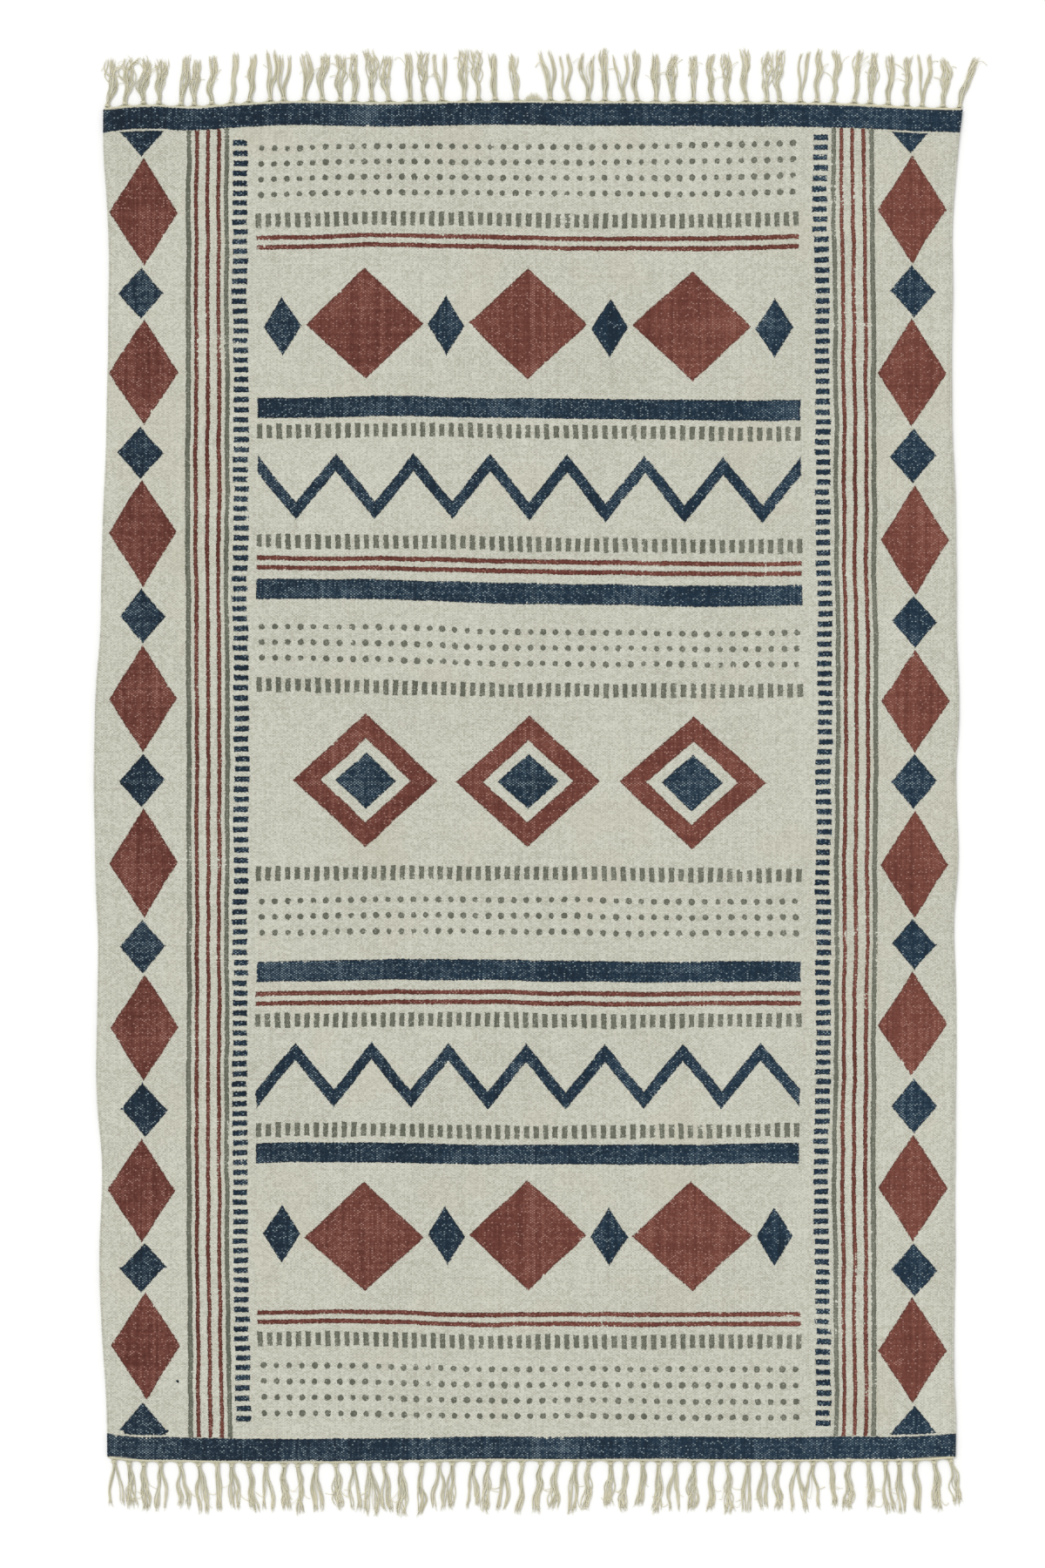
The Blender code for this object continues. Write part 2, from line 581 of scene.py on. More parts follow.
def ground_colour(tree, x, y, weave):
    """Undyed cotton: lighter on the crowns of its yarns, with painted shade darkening the hollows between
    them, and slow warm and cool patches.
    """
    # The crowns term is painted shade: the tops of the yarns lighter, the hollows between them darker.
    # The crossing, grain, streak and patch terms are the cotton's own uneven tone.
    crowns = abs(weave.over) * 0.30 + weave.over * 0.34 + weave.crossing * 0.78 + weave.grain * 0.12
    streaks = weave.warp_streak * 0.12 + weave.weft_streak * 0.10
    patches = cloud(x, y, 4.0, 3.0, 2.3) * 0.10 + cloud(x, y, (30.0, 60.0), 2.0, 9.1) * 0.10
    share = crowns + streaks + patches + 0.50
    plain = blend(tree, share.clamped(), GROUND_SHADE, GROUND_LIGHT)
    warmth = cloud(x, y, 7.0, 2.0, 5.5).step(0.1, 1.1, 0.0, 0.32)
    return blend(tree, warmth, plain, GROUND_WARM)


def plain_cotton():
    """The undyed cloth, as on its back and round its rim."""
    material, tree, shader = new_material("plain_cotton")
    x, y = object_xy(tree)
    weave = Weave(x, y)
    feed(tree, shader.inputs["Base Color"], ground_colour(tree, x, y, weave))
    cotton_finish(shader)
    add_bump(tree, shader, weave.height(), WEAVE_DEPTH)
    return material


# ---------------------------------------------------------------------------------------------
# The print. Each shape is a distance inside its edge, in metres, and below 0 outside.

# Plain stripes beside the borders: distance from the stripes' middle line, half width, and ink.
STRIPES = (
    (0.6030, 0.0043, "grey"),
    (0.5894, 0.0036, "red"),
    (0.5695, 0.0036, "red"),
    (0.5504, 0.0036, "red"),
    (0.5366, 0.0040, "grey"),
)
STRIPE_SHIFT = 0.0055
LADDER_MIDDLE = 0.5132
LADDER_HALF_WIDTH = 0.0128
RUNG_HALF_HEIGHT = 0.0050
RUNG_PITCH = 0.0176
LAST_RUNG = 64

# A navy band along each end, from so far inside the cloth's end.
HEADING = 0.0012
BAND_STOP = 0.0415

# The borders and the field lie between the two bands. A lozenge is given by half its width and
# half its height, and is stamped a little out of place.
BORDER_MIDDLE = 0.6775
BORDER_REPEAT = 0.2860
BORDER_START = BORDER_REPEAT / 2
BORDER_RED = (0.0600, 0.0940)
BORDER_NAVY = (0.0400, 0.0470)
STAMP_SLIP = 0.008
RUNG_SLIP = 0.003
FIELD_HALF_WIDTH = 0.480

# Rows of the field, each printed at both ends: distance from the rug's middle.
DOT_ROWS = ((1.0760, 4), (0.2390, 3))
TICK_ROWS = (0.9870, 0.6130, 0.4180, 0.1640)
RED_RULES = (0.9560, 0.9390, 0.3880, 0.3710)
NAVY_BARS = (0.6540, 0.3330)
LOZENGE_ROW = 0.8000
LOZENGE_REPEAT = 0.2900
LOZENGE_RED = (0.1050, 0.0980)
LOZENGE_NAVY = (0.0330, 0.0520)
MIDDLE_RED = (0.1280, 0.1180)
MIDDLE_RIM = 0.0330
MIDDLE_NAVY_INSET = 0.0500
ZIGZAG_ROW = 0.5150
ZIGZAG_REPEAT = 2 * FIELD_HALF_WIDTH / 7
ZIGZAG_RISE = 0.0420
ZIGZAG_HALF_WIDTH = 0.0100

DOT_COLUMN_PITCH = 0.0224
LAST_DOT = 21
DOT_ROW_PITCH = 0.0277
DOT_RADIUS = 0.0053
DOT_UNEVENNESS = 0.0012
TICK_PITCH = 0.0170
LAST_TICK = 28
TICK_HALF_WIDTH = 0.0047
TICK_HALF_HEIGHT = 0.0122
TICK_UNEVENNESS = 0.0030
RULE_HALF_WIDTH = 0.0042
BAR_HALF_WIDTH = 0.0180
BLOT = (-0.620, -1.060, 0.0030)
SELVEDGE_MARGIN = 0.0008
END_MARGIN = 0.0004


def box_shape(x, y, half_width, half_height):
    """A rectangle round the place where x and y are 0."""
    return (half_width - abs(x)).at_most(half_height - abs(y))


def lozenge_shape(x, y, half_width, half_height):
    """A lozenge round the place where x and y are 0."""
    slant = half_width * half_height / math.hypot(half_width, half_height)
    return (1.0 - abs(x) / half_width - abs(y) / half_height) * slant


def rim_of(shape, width):
    """A line of that width just inside a shape's edge."""
    return width / 2 - abs(shape - width / 2)


class Print:
    """The inks' shapes, gathered one at a time.

    It is laid out on x and y, in metres from the rug's middle, and on the distance from its end.
    """

    def __init__(self, x, y, from_end):
        self.x = x
        self.y = y
        self.from_end = from_end
        self.inks = {}

    def put(self, ink, shape):
        """Add a shape to those that are printed in one ink."""
        self.inks[ink] = self.inks[ink].at_least(shape) if ink in self.inks else shape

    def end_bands(self):
        """A plain navy band along each end, with the heading left bare outside it."""
        self.put("navy", (self.from_end - HEADING).at_most(BAND_STOP - self.from_end))

    def side_stripes(self):
        """Thin stripes from band to band along each side, and a ladder of short bars."""
        side = abs(self.x - STRIPE_SHIFT)
        within = self.from_end - BAND_STOP
        for middle, half_width, ink in STRIPES:
            self.put(ink, (half_width - abs(side - middle)).at_most(within))
        rung = self.y.from_middle(RUNG_PITCH)
        number = self.y.repeat(RUNG_PITCH)
        slip = (chance(number, 0.0, 2.0) - 0.5) * RUNG_SLIP
        ladder = box_shape(side - LADDER_MIDDLE + slip, rung, LADDER_HALF_WIDTH, RUNG_HALF_HEIGHT)
        self.put("navy", ladder.at_most((LAST_RUNG + 0.5) * RUNG_PITCH - abs(self.y)))

    def border_lozenges(self):
        """Large red lozenges and small navy ones take turns along each side."""
        side = abs(self.x) - BORDER_MIDDLE
        number = self.y.repeat(BORDER_REPEAT, BORDER_START)
        shift = (chance(number, self.x.math("SIGN"), 5.0) - 0.5) * STAMP_SLIP
        along = self.y.from_middle(BORDER_REPEAT, BORDER_START) + shift
        self.put("red", lozenge_shape(side - shift, along, *BORDER_RED))
        between = self.y.from_middle(BORDER_REPEAT) + shift * 0.5
        navy = lozenge_shape(side + shift, between, *BORDER_NAVY)
        self.put("navy", navy.at_most(self.from_end - BAND_STOP - 0.003))

    def blot(self, x, y, radius):
        """A drop of ink fallen beside the print."""
        across, along = self.x - x, self.y - y
        self.put("navy", radius - (across * across + along * along).math("SQRT"))

    def dots(self, row, count):
        """Several rows of dots, stamped a block at a time."""
        away = abs(self.y) - row
        top = (count - 1) / 2 * DOT_ROW_PITCH
        across = self.x.from_middle(DOT_COLUMN_PITCH)
        along = away.from_middle(DOT_ROW_PITCH, top)
        number = chance(self.x.repeat(DOT_COLUMN_PITCH), away.repeat(DOT_ROW_PITCH, top), 7.0)
        radius = DOT_RADIUS + (number - 0.5) * DOT_UNEVENNESS
        distance = (across * across + along * along).math("SQRT")
        reach = box_shape(self.x, away, (LAST_DOT + 0.5) * DOT_COLUMN_PITCH, top + DOT_ROW_PITCH / 2)
        self.put("grey", (radius - distance).at_most(reach))

    def ticks(self, row):
        """A row of short upright strokes."""
        away = abs(self.y) - row
        number = chance(self.x.repeat(TICK_PITCH), row, 11.0)
        height = TICK_HALF_HEIGHT + (number - 0.5) * TICK_UNEVENNESS
        tick = (TICK_HALF_WIDTH - abs(self.x.from_middle(TICK_PITCH))).at_most(height - abs(away))
        self.put("grey", tick.at_most((LAST_TICK + 0.5) * TICK_PITCH - abs(self.x)))

    def rule(self, row, half_width, ink):
        """A plain bar across the field."""
        self.put(ink, box_shape(self.x, abs(self.y) - row, FIELD_HALF_WIDTH, half_width))

    def lozenge_row(self):
        """Three red lozenges across the field, with navy ones between and beside them."""
        away = abs(self.y) - LOZENGE_ROW
        number = self.x.repeat(LOZENGE_REPEAT)
        shift = (chance(number, self.y.math("SIGN"), 17.0) - 0.5) * STAMP_SLIP
        red = lozenge_shape(self.x.from_middle(LOZENGE_REPEAT), away + shift, *LOZENGE_RED)
        self.put("red", red.at_most(1.5 * LOZENGE_REPEAT - abs(self.x)))
        between = self.x.from_middle(LOZENGE_REPEAT, LOZENGE_REPEAT / 2)
        navy = lozenge_shape(between, away - shift, *LOZENGE_NAVY)
        self.put("navy", navy.at_most(FIELD_HALF_WIDTH - abs(self.x)))

    def zigzag(self):
        """A navy zigzag of even width across the field."""
        away = abs(self.y) - ZIGZAG_ROW
        slope = 4 * ZIGZAG_RISE / ZIGZAG_REPEAT
        wave = abs(self.x.from_middle(ZIGZAG_REPEAT)) * slope - ZIGZAG_RISE
        lean = math.cos(math.atan(slope))
        line = ZIGZAG_HALF_WIDTH - abs(away - wave) * lean
        self.put("navy", line.at_most(FIELD_HALF_WIDTH - abs(self.x)))

    def middle_row(self):
        """Lozenges within lozenges across the rug's middle."""
        across = self.x.from_middle(LOZENGE_REPEAT)
        shape = lozenge_shape(across, self.y, *MIDDLE_RED)
        within = 1.5 * LOZENGE_REPEAT - abs(self.x)
        self.put("red", rim_of(shape, MIDDLE_RIM).at_most(within))
        self.put("navy", (shape - MIDDLE_NAVY_INSET).at_most(within))

    def all_rows(self):
        self.end_bands()
        self.side_stripes()
        self.border_lozenges()
        self.blot(*BLOT)
        for row, count in DOT_ROWS:
            self.dots(row, count)
        for row in TICK_ROWS:
            self.ticks(row)
        for row in RED_RULES:
            self.rule(row, RULE_HALF_WIDTH, "red")
        for row in NAVY_BARS:
            self.rule(row, BAR_HALF_WIDTH, "navy")
        self.lozenge_row()
        self.zigzag()
        self.middle_row()
        return self.inks


INK_COLOURS = {
    "grey": (GREY_DEEP, GREY_BRIGHT, GREY_SPECK),
    "red": (RED_DEEP, RED_BRIGHT, RED_SPECK),
    "navy": (NAVY_DEEP, NAVY_BRIGHT, NAVY_SPECK),
}


def print_place(x, y):
    """Where a point falls in the printer's pattern, which wanders slowly and in each block."""
    along_x = cloud(x, y, 1.1, 1.0, 12.0) * 0.0060 + cloud(x, y, 9.0, 2.0, 14.0) * 0.0021
    along_y = cloud(x, y, 1.4, 1.0, 21.0) * 0.0085 + cloud(x, y, 8.0, 2.0, 23.0) * 0.0017
    return x + along_x, y + along_y


def wear(x, y, weave):
    """How worn the print is: in slow patches and small ones, and along single warps and wefts."""
    patches = cloud(x, y, 8.0, 3.0, 51.0) * 0.46 + cloud(x, y, (60.0, 90.0), 2.0, 53.0) * 0.14
    return patches + weave.weft_streak * 0.30 + weave.warp_streak * 0.42


def fold_wear(x, y):
    """The cracking of the print along the cloth's two old folds."""
    fold_down = abs(x - FOLD_X).step(0.001, 0.006, 0.45, 0.0)
    fold_across = abs(y - FOLD_Y).step(0.001, 0.005, 0.50, 0.0)
    return fold_down + fold_across


def printed_cotton():
    """Cotton with pigment block-printed on its face, which misses the hollows of the weave."""
    material, tree, shader = new_material("printed_cotton")
    x, y = object_xy(tree)
    from_side, from_end, _ = attribute_axes(tree, "inset")
    weave = Weave(x, y)

    uneven_end = from_end + cloud(x, y, 6.0, 2.0, 31.0) * 0.0014
    inks = Print(*print_place(x, y), uneven_end).all_rows()

    ragged = weave.over * 0.0005 + weave.crossing * 0.0017 + cloud(x, y, 210.0, 1.0, 41.0) * 0.0007
    printable = (from_side - SELVEDGE_MARGIN).at_most(from_end - END_MARGIN)
    worn = wear(x, y, weave)
    bare = weave.crossing.step(0.36, 0.46)
    gaps = weave.crossing.step(0.10, 0.30) * worn.step(0.15, 0.70) * 0.0050
    missed = weave.crossing * 0.9 + bare * 0.9 + weave.grain * 0.25 + worn + fold_wear(x, y)
    crowns = weave.over.step(0.05, 0.55)
    hollows = weave.over.step(-0.2, -0.7) * worn.step(0.4, 1.1, 0.0, 0.6)
    # How light each ink is: lighter where worn and at some crossings, and lighter towards the right side
    # as x rises.
    ink_lightness = worn * 0.50 + weave.crossing * 0.28 + x * 0.20 + 0.46

    colour = ground_colour(tree, x, y, weave)
    for ink, shape in inks.items():
        deep, bright, speck = INK_COLOURS[ink]
        inside = shape.at_most(printable) + ragged - gaps
        cover = inside.step(-0.0003, 0.0005)
        rim = inside.step(0.0, 0.0028, 0.55, 0.0)
        body = blend(tree, (ink_lightness - rim).clamped(), deep, bright)
        specks = (missed - rim * 0.8).step(-0.30, 1.10) * crowns.at_least(hollows)
        colour = blend(tree, cover, colour, blend(tree, specks, body, speck))

    feed(tree, shader.inputs["Base Color"], colour)
    cotton_finish(shader)
    add_bump(tree, shader, weave.height(), WEAVE_DEPTH)
    return material


# ---------------------------------------------------------------------------------------------
# Yarn


def fringe_yarn():
    """Loosely plied undyed yarn: painted shade darkens the groove between its plies, and it is lighter at
    its cut tip.
    """
    material, tree, shader = new_material("fringe_yarn")
    sideways, upwards, run = attribute_axes(tree, "ply")
    turn = upwards.math("ARCTAN2", sideways)
    plies = (turn * 2.0 + run * (math.tau / PLY_PITCH)).sine()
    x, y = object_xy(tree)
    fibres = cloud(x, y, 900.0, 1.0, 71.0)
    # The plies term is painted shade in the groove between the plies. The fibre, cloud and tone terms are
    # the yarn's own uneven colour.
    share = plies * 0.22 + fibres * 0.12 + cloud(x, y, 60.0, 2.0, 73.0) * 0.15
    share = share + attribute_value(tree, "tone")
    body = blend(tree, share.clamped(), YARN_SHADE, YARN_LIGHT)
    tipped = attribute_value(tree, "tipward").step(0.4, 1.0, 0.0, 0.40)
    feed(tree, shader.inputs["Base Color"], blend(tree, tipped, body, YARN_TIP))
    cotton_finish(shader)
    add_bump(tree, shader, plies + fibres * 0.3, YARN_DEPTH)
    return material


# ---------------------------------------------------------------------------------------------
# Pieces


def lift(x, y):
    """How far the cloth stands off the floor there, in metres: slow swells and its two old folds."""
    swell = noise.noise(Vector((x * 2.3, y * 2.3, 0.5))) * SWELL_HEIGHT
    ripple = noise.noise(Vector((x * 9.0, y * 6.0, 4.5))) * RIPPLE_HEIGHT
    to_side = min(x - edges.side_x(-1, y), edges.side_x(1, y) - x)
    loose = math.exp(-max(to_side, 0.0) / SLACK_REACH)
    slack = (0.5 + noise.noise(Vector((x * 3.0, y * 7.0, 9.5)))) * SLACK_HEIGHT * loose
    folds = math.exp(-(((x - FOLD_X) / FOLD_HALF_WIDTH) ** 2))
    folds += math.exp(-(((y - FOLD_Y) / FOLD_HALF_WIDTH) ** 2))
    return max(LOWEST_LIFT, MEAN_LIFT + swell + ripple + slack + folds * FOLD_HEIGHT)


def make_cloth(face_cotton, back_cotton):
    """The woven sheet, closed, with a rounded rim. Its face takes the print."""
    columns, rows = SHEET_COLUMNS + 1, SHEET_ROWS + 1
    top, bottom, insets = [], [], []
    for row in range(rows):
        along = row / SHEET_ROWS
        for column in range(columns):
            across = column / SHEET_COLUMNS
            guess = cad_low.x + across * (cad_high.x - cad_low.x)
            y = edges.end_y(-1, guess) * (1 - along) + edges.end_y(1, guess) * along
            left, right = edges.side_x(-1, y), edges.side_x(1, y)
            x = left * (1 - across) + right * across
            from_side = min(x - left, right - x)
            from_end = min(edges.end_y(1, x) - y, y - edges.end_y(-1, x))
            raised = lift(x, y)
            inward_x = RIM_DEPTH * ((column == 0) - (column == columns - 1))
            inward_y = RIM_DEPTH * ((row == 0) - (row == rows - 1))
            top.append((x + inward_x, y + inward_y, raised + SHEET_THICKNESS))
            bottom.append((x + inward_x, y + inward_y, raised))
            insets.append((from_side, from_end, 0.0))
    ring = [(0, c) for c in range(columns)]
    ring += [(r, columns - 1) for r in range(1, rows)]
    ring += [(rows - 1, c) for c in range(columns - 2, -1, -1)]
    ring += [(r, 0) for r in range(rows - 2, 0, -1)]
    grid = columns * rows
    rim = []
    for row, column in ring:
        x, y, z = top[row * columns + column]
        outward_x = RIM_DEPTH * ((column == columns - 1) - (column == 0))
        outward_y = RIM_DEPTH * ((row == rows - 1) - (row == 0))
        rim.append((x + outward_x, y + outward_y, z - SHEET_THICKNESS / 2))

    faces, backs = [], []
    for row in range(rows - 1):
        for column in range(columns - 1):
            at = row * columns + column
            quad = (at, at + 1, at + columns + 1, at + columns)
            faces.append(quad)
            backs.append(tuple(grid + corner for corner in reversed(quad)))
    around = []
    for here, (row, column) in enumerate(ring):
        after = (here + 1) % len(ring)
        top_here = row * columns + column
        top_after = ring[after][0] * columns + ring[after][1]
        rim_here, rim_after = 2 * grid + here, 2 * grid + after
        around.append((top_after, top_here, rim_here, rim_after))
        around.append((rim_after, rim_here, grid + top_here, grid + top_after))

    piece = new_object("cloth", top + bottom + rim, faces + backs + around, [face_cotton, back_cotton])
    mesh = piece.data
    slots = [0] * len(faces) + [1] * (len(backs) + len(around))
    mesh.polygons.foreach_set("material_index", slots)
    add_attribute(mesh, "inset", "FLOAT_VECTOR", insets + insets + [(0.0, 0.0, 0.0)] * len(rim))
    layer = mesh.uv_layers.new(name="OFBake")
    width, length = cad_high.x - cad_low.x, cad_high.y - cad_low.y
    map_parts = ((0.0, FACE_SHARE), (FACE_SHARE, 1.0 - FACE_SHARE))
    for polygon in mesh.polygons:
        offset, share = map_parts[polygon.material_index]
        for corner in polygon.loop_indices:
            at = mesh.vertices[mesh.loops[corner].vertex_index].co
            layer.data[corner].uv = (
                offset + share * (at.x - cad_low.x) / width,
                (at.y - cad_low.y) / length,
            )
    return piece


def make_selvedges(face_cotton):
    """A thick outer warp along each side, with the wefts turning round it. It takes the print too."""
    cords = Tubes("selvedges", face_cotton)
    for i in (-1, 1):
        low, high = edges.corners[i, -1][1], edges.corners[i, 1][1]
        count = int((high - low) / WEFT_PITCH)
        along = np.linspace(low + 0.001, high - 0.001, count)
        chance_of = random.Random(40 + i)
        path = []
        radii = []
        for index, y in enumerate(along):
            x = edges.side_x(i, y) - i * (SELVEDGE_RADIUS * 0.75)
            slack = 0.0003 * math.sin(y * 37.0 + i) + chance_of.uniform(-0.0001, 0.0001)
            uneven = chance_of.uniform(-0.05, 0.05)
            path.append((x + slack, y, lift(x, y) + SELVEDGE_REST))
            radii.append(SELVEDGE_RADIUS * (1.0 + SELVEDGE_SWELL * (-1) ** index + uneven))
        cords.add(path, radii, SELVEDGE_SIDES)
    piece = cords.build()
    insets = []
    for vertex in piece.data.vertices:
        x, y, _ = vertex.co
        insets.append((PRINTED_SIDE, min(edges.end_y(1, x) - y, y - edges.end_y(-1, x)), 0.0))
    add_attribute(piece.data, "inset", "FLOAT_VECTOR", insets)
    return piece


def make_headings(yarn):
    """The last pair of wefts at each end, twisted round each other and packed against the cloth."""
    cords = Tubes("headings", yarn)
    for j in (-1, 1):
        left, right = edges.corners[-1, j][0], edges.corners[1, j][0]
        across = np.arange(left + 0.001, right - 0.001, HEADING_STEP)
        for strand in (0.0, math.pi):
            path = []
            for x in across:
                turn = strand + x * math.tau / HEADING_TWIST
                y = edges.end_y(j, x) - j * HEADING_INSET + HEADING_COIL_WIDTH * math.cos(turn)
                z = lift(x, y) + HEADING_RADIUS + HEADING_COIL_HEIGHT * (1 + math.sin(turn))
                path.append((x, y, z))
            cords.add(path, [HEADING_RADIUS] * len(path), HEADING_SIDES, shade=0.42)
    return cords.build()


def smooth(value, low, high):
    """A smooth step from 0 to 1 as the value goes from low to high."""
    share = np.clip((value - low) / (high - low), 0.0, 1.0)
    return share * share * (3 - 2 * share)


class Tassel:
    """One bunch of warp ends, gathered at a knot and lying loose beyond it.

    Each tassel draws its habit, and its own measures from these ranges, in metres.
    """

    SWAY = (0.0006, 0.0026)
    SWAY_LENGTH = (0.045, 0.085)
    FORKED_SHARE = 0.30
    FORK_WIDTH = (0.0045, 0.0105)
    FORKED_NARROWING = 0.65
    LOOSE_ABOVE = 0.60
    LOOSE = (0.0030, 0.0065)
    TIGHT = (0.0010, 0.0024)
    TANGLED = (0.0030, 0.0060)
    HALF_WIDTH = (0.0037, 0.0058)

    def __init__(self, j, tooth, dice):
        self.j = j
        self.root, self.belly, self.tip, self.length = tooth
        self.dice = dice
        self.foot = edges.end_y(j, self.root)
        self.sway = dice.uniform(*self.SWAY)
        self.sway_length = dice.uniform(*self.SWAY_LENGTH)
        self.sway_start = dice.uniform(0, math.tau)
        self.turning = dice.uniform(-3.0, 3.0)
        self.turn_start = dice.uniform(0, math.tau)
        self.rise = lift(self.root, self.foot) + SHEET_THICKNESS / 2
        habit = dice.random()
        self.tangled = j > 0 and self.root < TANGLED_FROM
        self.fork = dice.uniform(*self.FORK_WIDTH) if habit < self.FORKED_SHARE else 0.0
        self.looseness = dice.uniform(*(self.LOOSE if habit > self.LOOSE_ABOVE else self.TIGHT))
        self.looseness += dice.uniform(*self.TANGLED) if self.tangled else 0.0
        self.half_width = dice.uniform(*self.HALF_WIDTH)
        self.half_width *= self.FORKED_NARROWING if self.fork else 1.0

    def middle(self, out):
        """The tassel's middle line across the rug, at distances out from the cloth's end."""
        share = np.clip(out / self.length, 0.0, 1.1)
        belly = self.belly - (self.root + self.tip) / 2
        line = self.root + (self.tip - self.root) * share + belly * 4 * share * (1 - share)
        wave = np.sin(out * math.tau / self.sway_length + self.sway_start) - math.sin(self.sway_start)
        return line + self.sway * wave * smooth(out, KNOT_PLACE, 0.030)

    def wandering(self, out):
        """How far one loose yarn strays sideways from its place in the bunch."""
        dice = self.dice
        slow = np.sin(out * dice.uniform(35, 70) + dice.uniform(0, math.tau))
        quick = np.sin(out * dice.uniform(110, 190) + dice.uniform(0, math.tau))
        return self.looseness * (slow + 0.35 * quick) * smooth(out, KNOT_PLACE + 0.002, self.length * 0.7)

    def yarn_path(self, fan_x, spoke, reach):
        """A yarn from the cloth's end, in to the knot, and out along the tassel."""
        length = self.length + self.dice.uniform(-0.006, 0.003)
        free = np.linspace(KNOT_PLACE, length, YARN_RINGS - 3)
        out = np.concatenate([[-0.002, 0.0008, 0.0036], free])
        turn = self.turn_start + spoke + self.turning * out / self.length
        opened = smooth(out, KNOT_PLACE + 0.001, self.length * 0.40)
        half_width = NECK_HALF_WIDTH + (self.half_width - NECK_HALF_WIDTH) * opened
        half_height = NECK_HALF_HEIGHT * (1 - 0.45 * opened)
        leg = math.copysign(self.fork, math.cos(spoke + self.turn_start))
        sideways = half_width * reach * np.cos(turn) + self.wandering(out)
        sideways = sideways + leg * smooth(out, KNOT_PLACE, self.length * 0.8)
        gathered = smooth(out, -0.001, KNOT_PLACE)
        x = fan_x * (1 - gathered) + (self.middle(out) + sideways) * gathered
        z = self.rise * (1 - gathered)
        z = z + (YARN_REST + half_height * (1 + np.sin(turn) * reach)) * gathered
        end = edges.end_y(self.j, x)
        y = end + (self.foot - end) * gathered + self.j * out
        return np.stack([x, y, z], axis=1), out

    def stray_path(self):
        """A strand that works loose and lies in an arc beside the tassel."""
        dice = self.dice
        share = np.linspace(0.0, 1.0, STRAY_RINGS)
        start = dice.uniform(KNOT_PLACE, 0.030)
        out = start + (dice.uniform(0.045, self.length) - start) * np.sin(share * dice.uniform(1.2, 2.3))
        aside = dice.choice((-1, 1)) * dice.uniform(0.008, 0.026)
        wriggle = dice.uniform(0.0006, 0.0022)
        wriggle = wriggle * np.sin(share * dice.uniform(5, 11) + dice.uniform(0, math.tau))
        x = self.middle(out) + aside * share ** dice.uniform(1.5, 2.6) + wriggle * share
        z = STRAY_REST + dice.uniform(0.0, 0.004) * np.sin(share * math.pi)
        return np.stack([x, self.foot + self.j * out, z], axis=1)


def add_frayed_tip(yarns, path, radius, shade, dice):
    """The yarn's end opens into a few loose fibres."""
    ahead = path[-1] - path[-2]
    ahead = ahead / np.linalg.norm(ahead)
    sideways = np.array([ahead[1], -ahead[0], 0.0])
    steps = np.linspace(-0.2, 1.0, 4)
    for _ in range(TIP_FIBRES):
        length = dice.uniform(0.004, 0.009)
        spread = dice.uniform(-0.35, 0.35)
        bend = spread * (length * np.maximum(steps, 0) ** 2 + radius)
        fibre = path[-1] + np.outer(steps * length, ahead) + np.outer(bend, sideways)
        fibre[:, 2] = np.maximum(fibre[:, 2], radius * 0.6)
        yarns.add(fibre, radius * np.array([0.55, 0.5, 0.35, 0.12]), 3, shade=shade + 0.2, plied=False)


def add_knot(knots, tassel, dice):
    """The warp ends' overhand knot: close turns of the bunch round the tassel's neck."""
    share = np.linspace(0.0, 1.0, KNOT_RINGS)
    turn = share * KNOT_TURNS * math.tau + math.pi
    side = KNOT_HALF_WIDTH * np.cos(turn)
    lean = dice.uniform(-0.25, 0.25)
    out = KNOT_PLACE + KNOT_STRAND_RADIUS * KNOT_TURNS * (1.7 * share - 1.0)
    x = tassel.middle(out) + side
    y = tassel.foot + tassel.j * (out + side * lean)
    z = KNOT_REST + KNOT_HALF_HEIGHT * (1 + np.sin(turn))
    radii = KNOT_STRAND_RADIUS * (1 - 0.5 * np.abs(2 * share - 1) ** 6)
    path = np.stack([x, y, z], axis=1)
    knots.add(path, radii, YARN_SIDES, lobes=KNOT_LOBES, twist=KNOT_TWIST, shade=0.36)


def add_tassel(yarns, knots, tassel, fan_low, fan_high):
    """A tassel's yarns, which leave the cloth between the fan's two sides, its strays and its knot."""
    dice = tassel.dice
    count = round((fan_high - fan_low) / WARP_PITCH) + 1
    count = max(FEWEST_YARNS, min(MOST_YARNS, count))
    for k in range(count):
        fan_x = fan_low + (k + 0.5) * (fan_high - fan_low) / count
        inner = k % 4 == 3
        reach = dice.uniform(0.1, 0.5) if inner else dice.uniform(0.75, 1.05)
        spoke = math.tau * k / count + dice.uniform(-0.3, 0.3)
        path, out = tassel.yarn_path(fan_x, spoke, reach)
        radius = YARN_RADIUS * dice.uniform(0.80, 1.08)
        radii = radius * (1 - 0.22 * np.exp(-(((out - KNOT_PLACE) / 0.004) ** 2)))
        shade = dice.uniform(0.08, 0.72)
        twist = dice.choice((-1, 1)) * YARN_TWIST
        yarns.add(path, radii, YARN_SIDES, lobes=YARN_LOBES, twist=twist, shade=shade)
        add_frayed_tip(yarns, path, radius, shade, dice)
    strays = dice.choices((0, 1, 2, 3), (28, 34, 23, 15))[0]
    strays += TANGLED_STRAYS if tassel.tangled else 0
    for _ in range(strays):
        radius = dice.uniform(0.00035, 0.00075)
        radii = np.full(STRAY_RINGS, radius)
        yarns.add(tassel.stray_path(), radii, 4, shade=dice.uniform(0.4, 0.7), plied=False)
    add_knot(knots, tassel, dice)


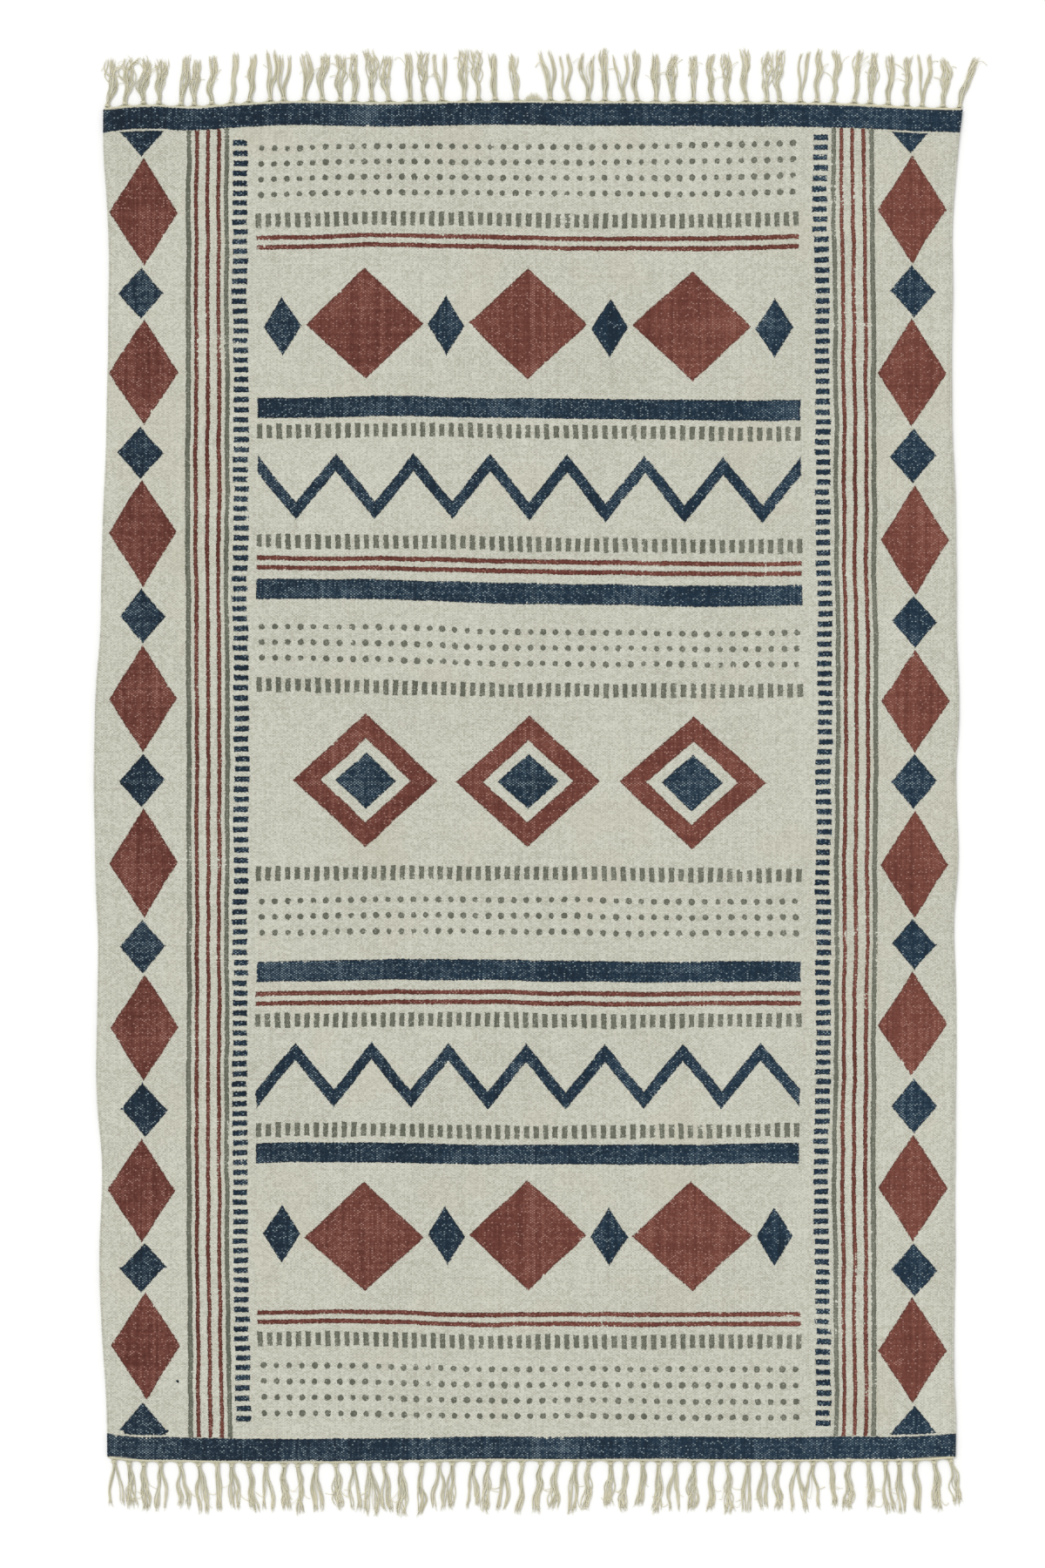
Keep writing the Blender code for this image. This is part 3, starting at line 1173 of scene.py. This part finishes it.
def add_cut_ends(yarns, j, middle, dice):
    """Where a tassel is missing, its warp ends are cut short in a low mound."""
    for side in np.linspace(-0.017, 0.017, 13):
        rounded = math.sqrt(1 - (side / MOUND_HALF_WIDTH) ** 2)
        length = 0.002 + MOUND_HEIGHT * rounded + dice.uniform(-0.001, 0.001)
        out = np.linspace(-0.002, length, MOUND_RINGS)
        x = middle + side * (1 - 25 * out)
        y = edges.end_y(j, middle + side) + j * out
        z = 0.0022 + dice.uniform(0.0, 0.0016) + 0.0004 * np.sin(out * 400)
        radius = YARN_RADIUS * dice.uniform(0.9, 1.15)
        path = np.stack([x, y, z], axis=1)
        yarns.add(path, np.full(MOUND_RINGS, radius), YARN_SIDES, shade=0.5)
        add_frayed_tip(yarns, path, radius * 0.8, 0.5, dice)


def make_fringe(node, j, yarn, seed):
    """The yarns of one end's fringe as one piece, and its knots as another."""
    dice = random.Random(seed)
    teeth = teeth_of(node, j)
    roots = [tooth[0] for tooth in teeth]
    left, right = edges.corners[-1, j][0] + 0.002, edges.corners[1, j][0] - 0.002
    yarns, knots = Tubes(node + "_yarns", yarn), Tubes(node + "_knots", yarn)
    for index, tooth in enumerate(teeth):
        before = (roots[index - 1] + tooth[0]) / 2 if index else left
        after = (roots[index + 1] + tooth[0]) / 2 if index < len(teeth) - 1 else right
        fan_low, fan_high = max(before, tooth[0] - FARTHEST_FAN), min(after, tooth[0] + FARTHEST_FAN)
        add_tassel(yarns, knots, Tassel(j, tooth, dice), fan_low, fan_high)
        if index < len(teeth) - 1 and roots[index + 1] - tooth[0] > MISSING_TASSEL_GAP:
            add_cut_ends(yarns, j, (roots[index + 1] + tooth[0]) / 2, dice)
    return yarns.build(), knots.build()


# ---------------------------------------------------------------------------------------------
# The stage


def make_camera():
    """A camera straight above the rug, which sees the view's length from top to bottom."""
    camera = bpy.data.objects.new("camera", bpy.data.cameras.new("camera"))
    camera.location = CAMERA_PLACE
    camera.data.sensor_width = SENSOR
    camera.data.lens = SENSOR * CAMERA_PLACE[2] / VIEW_LENGTH
    bpy.context.scene.collection.objects.link(camera)
    bpy.context.scene.camera = camera


def add_studio_light():
    """An even light over the whole rug: a wide soft source up to the left, and a pale room."""
    light = bpy.data.lights.new("key_light", "SUN")
    light.angle = math.radians(25)
    light.energy = KEY_STRENGTH
    lamp = bpy.data.objects.new("key_light", light)
    lamp.rotation_euler = (-Vector(KEY_DIRECTION)).to_track_quat("-Z", "Y").to_euler()
    bpy.context.scene.collection.objects.link(lamp)
    world = bpy.data.worlds.new("studio")
    world.use_nodes = True
    background = world.node_tree.nodes["Background"]
    background.inputs["Color"].default_value = (1.0, 1.0, 1.0, 1.0)
    background.inputs["Strength"].default_value = ROOM_STRENGTH
    bpy.context.scene.world = world
    bpy.context.scene.view_settings.view_transform = "Standard"


def make_floor():
    """A wide round floor, plain and pale."""
    bpy.ops.mesh.primitive_circle_add(vertices=96, radius=FLOOR_RADIUS, fill_type="NGON")
    floor = bpy.context.object
    floor.name = "floor"
    material, _, shader = new_material("pale_floor")
    shader.inputs["Base Color"].default_value = FLOOR_WHITE
    shader.inputs["Roughness"].default_value = 0.9
    shader.inputs["Specular IOR Level"].default_value = 0.1
    floor.data.materials.append(material)


def main():
    make_camera()
    make_floor()
    add_studio_light()
    yarn = fringe_yarn()
    face_cotton = printed_cotton()
    cloth = make_cloth(face_cotton, plain_cotton())
    selvedges = make_selvedges(face_cotton)
    headings = make_headings(yarn)
    fringes = []
    for node, j, seed in (("fringe_top", 1, 5), ("fringe_bottom", -1, 8)):
        yarns, knots = make_fringe(node, j, yarn, seed)
        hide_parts(node)
        fringes += [yarns, knots]
    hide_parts("rug_cloth")
    pieces = [cloth, selvedges, headings, *fringes]
    for piece in pieces:
        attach(piece, "root")
    width = edges.corners[1, 1][0] - edges.corners[-1, 1][0]
    length = edges.corners[-1, 1][1] - edges.corners[-1, -1][1]
    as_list(pieces[1:])


main()
